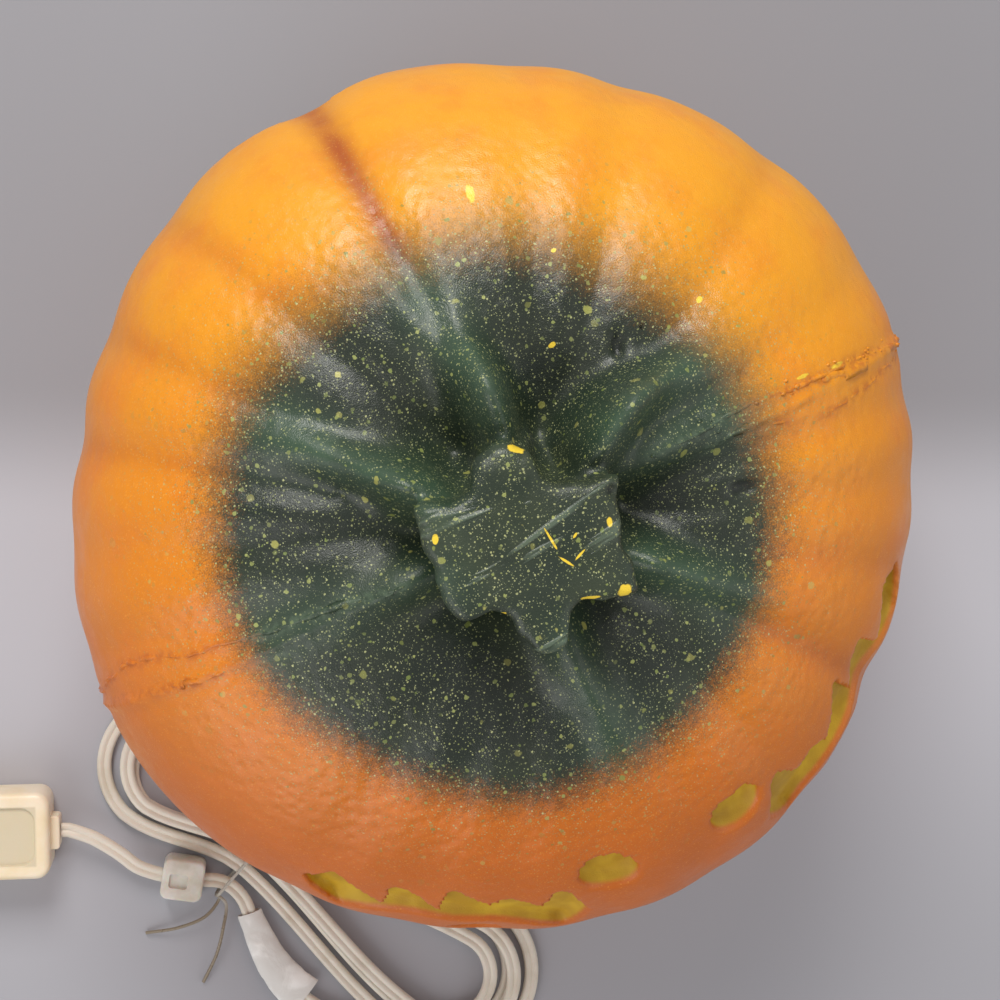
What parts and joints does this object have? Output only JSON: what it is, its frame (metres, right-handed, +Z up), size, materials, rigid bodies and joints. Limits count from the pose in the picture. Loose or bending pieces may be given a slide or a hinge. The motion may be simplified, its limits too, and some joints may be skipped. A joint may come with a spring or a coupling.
{
  "type": "light-up jack-o'-lantern",
  "caption": "Hollow moulded pumpkin with a recessed face and a cut stem, a lamp unit clipped into its back, and a bundled two-wire lead with a fused plug.",
  "frame": {"origin": "middle of the box round the pumpkin and its lamp unit, on the base it stands on", "axes": "+Z up through the stem, the face looks along -Y, the lamp opening looks along +Y, +X is its left hand"},
  "size_m": [0.3778, 0.3277, 0.2142],
  "materials": {
    "painted_foam": "sprayed orange paint on skinned foam, green round the stem",
    "white_plastic": "satin moulding",
    "spring_steel": "bare spring strip",
    "cord_vinyl": "soft ivory vinyl",
    "black_phenolic": "moulded",
    "brass": "plain",
    "solder": "dull",
    "bulb_glass": "clear",
    "filament_wire": "fine wire",
    "clear_tie": "clear coated wire",
    "label_paper": "bare coated paper",
    "clear_block": "frosted clear moulding",
    "cream_plastic": "cream moulding",
    "blade_metal": "bare",
    "fuse_glass": "clear with metal ends"
  },
  "bodies": {
    "pumpkin": {"pumpkin_shell": "painted_foam"},
    "lamp_unit": {"lamp_plate": "white_plastic", "spring_clip_left": "spring_steel", "spring_clip_right": "spring_steel", "cord_relief": "cord_vinyl", "lampholder_body": "black_phenolic", "screw_shell": "brass", "centre_contact": "brass", "shell_terminal": "brass", "cord_lead": "cord_vinyl", "cord_hank": "cord_vinyl", "cord_tail": "cord_vinyl", "twist_tie": "clear_tie", "label_tag": "label_paper", "cord_clip": "clear_block", "plug_body": "cream_plastic", "blade_live": "blade_metal", "blade_neutral": "blade_metal", "fuse_live": "fuse_glass", "fuse_neutral": "fuse_glass"},
    "bulb": {"bulb_glass": "bulb_glass", "bulb_cap": "brass", "bulb_insulator": "black_phenolic", "bulb_contact": "solder", "bulb_stem": "bulb_glass", "filament": "filament_wire"},
    "fuse_cover": {"fuse_door": "cream_plastic"}
  },
  "joints": [
    {"name": "lamp_unit_slide", "type": "slide", "parent": "pumpkin", "child": "lamp_unit", "axis": [0, 1, 0], "range_m": [0, 0.075]},
    {"name": "bulb_turn", "type": "hinge", "parent": "lamp_unit", "child": "bulb", "pos_m": [0, 0.1, 0.078], "axis": [0, 1, 0], "range_deg": [0, 1440]},
    {"name": "fuse_door_slide", "type": "slide", "parent": "lamp_unit", "child": "fuse_cover", "axis": [0, 0, 1], "range_m": [0, 0.012]}
  ]
}
